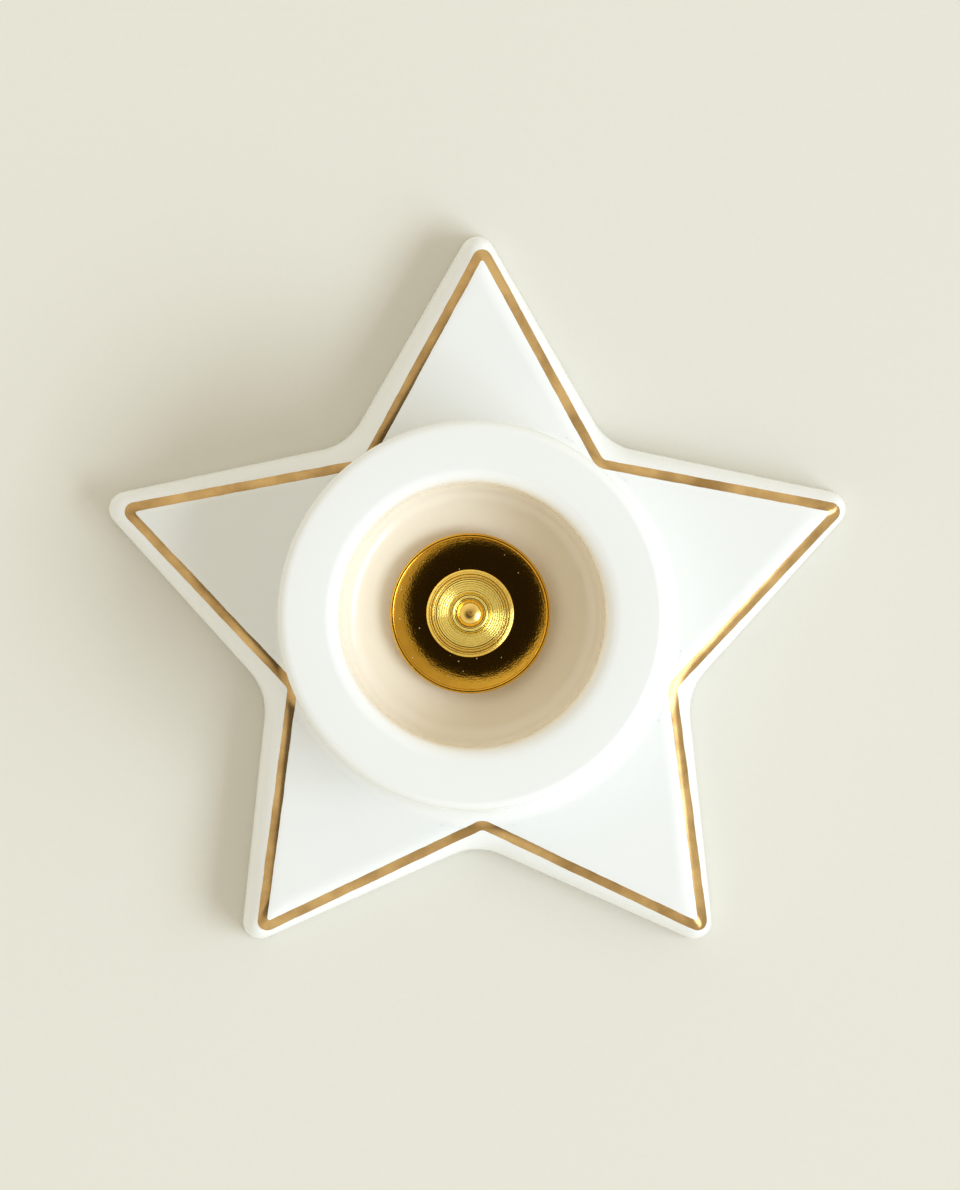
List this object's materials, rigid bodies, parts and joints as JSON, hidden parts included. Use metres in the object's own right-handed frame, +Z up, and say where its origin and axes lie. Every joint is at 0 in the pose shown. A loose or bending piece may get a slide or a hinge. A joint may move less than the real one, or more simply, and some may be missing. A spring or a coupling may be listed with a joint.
{
  "type": "tealight holder",
  "caption": "Glazed star-shaped dish with a gold edge line and a round candle cup bolted to its raised middle; holds a tealight.",
  "frame": {"origin": "the star's centre, on the plane that its foot stands on", "axes": "+Z up out of the candle cup, +Y along the star's top arm, +X to its right"},
  "size_m": [0.1148, 0.1095, 0.032],
  "materials": {
    "glazed_porcelain": "gloss",
    "gold_lustre": "polished",
    "gold_plate": "polished",
    "plated_screw": "satin",
    "zinc_steel": "satin",
    "clear_silicone": "matte",
    "black_rubber": "matte"
  },
  "bodies": {
    "root": {"star_dish": "glazed_porcelain", "gold_line": "gold_lustre", "candle_cup": "glazed_porcelain", "cup_gasket": "clear_silicone", "pan_gasket": "clear_silicone", "drip_pan": "gold_plate", "ferrule_nut": "gold_plate", "soft_washer": "black_rubber", "steel_washer": "zinc_steel", "spring_washer": "zinc_steel", "clamp_screw": "plated_screw"}
  },
  "joints": []
}
